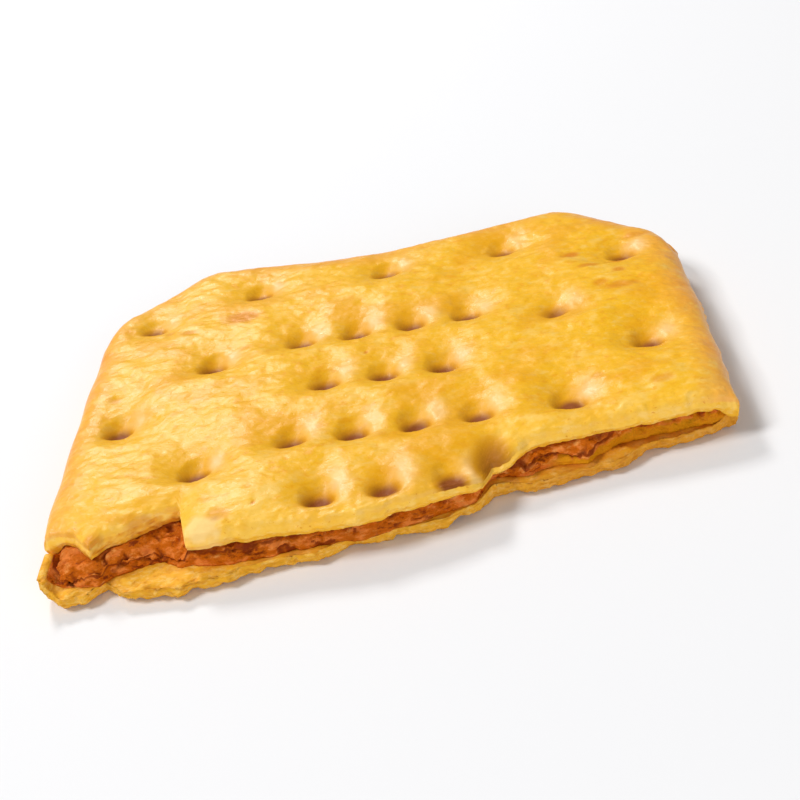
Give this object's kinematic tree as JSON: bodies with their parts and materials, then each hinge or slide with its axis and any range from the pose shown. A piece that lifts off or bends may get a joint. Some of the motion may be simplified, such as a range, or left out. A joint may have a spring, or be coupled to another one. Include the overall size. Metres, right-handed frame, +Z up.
{
  "type": "filled bacon cracker piece",
  "caption": "Snapped piece of a golden cut-cornered cracker: two thin baked dough sheets with a bacon layer between, pricked with docking holes, showing its layers along a ragged break.",
  "frame": {"origin": "on the resting face, under the middle of the piece", "axes": "+X along the broken edge to the right as seen from the break, +Y away from the break towards the whole back edge, +Z up out of the pricked face"},
  "size_m": [0.0502, 0.0402, 0.0046],
  "materials": {
    "upper_dough": "baked cracker dough, golden yellow with browned rim and hole bottoms, faint oily sheen",
    "bacon_filling": "crumbly red-brown bacon filling, dull",
    "lower_dough": "baked cracker dough, pale yellow crumb at the break and a browner underside"
  },
  "bodies": {
    "root": {"upper_sheet": "upper_dough", "filling": "bacon_filling", "lower_sheet": "lower_dough"}
  },
  "joints": []
}
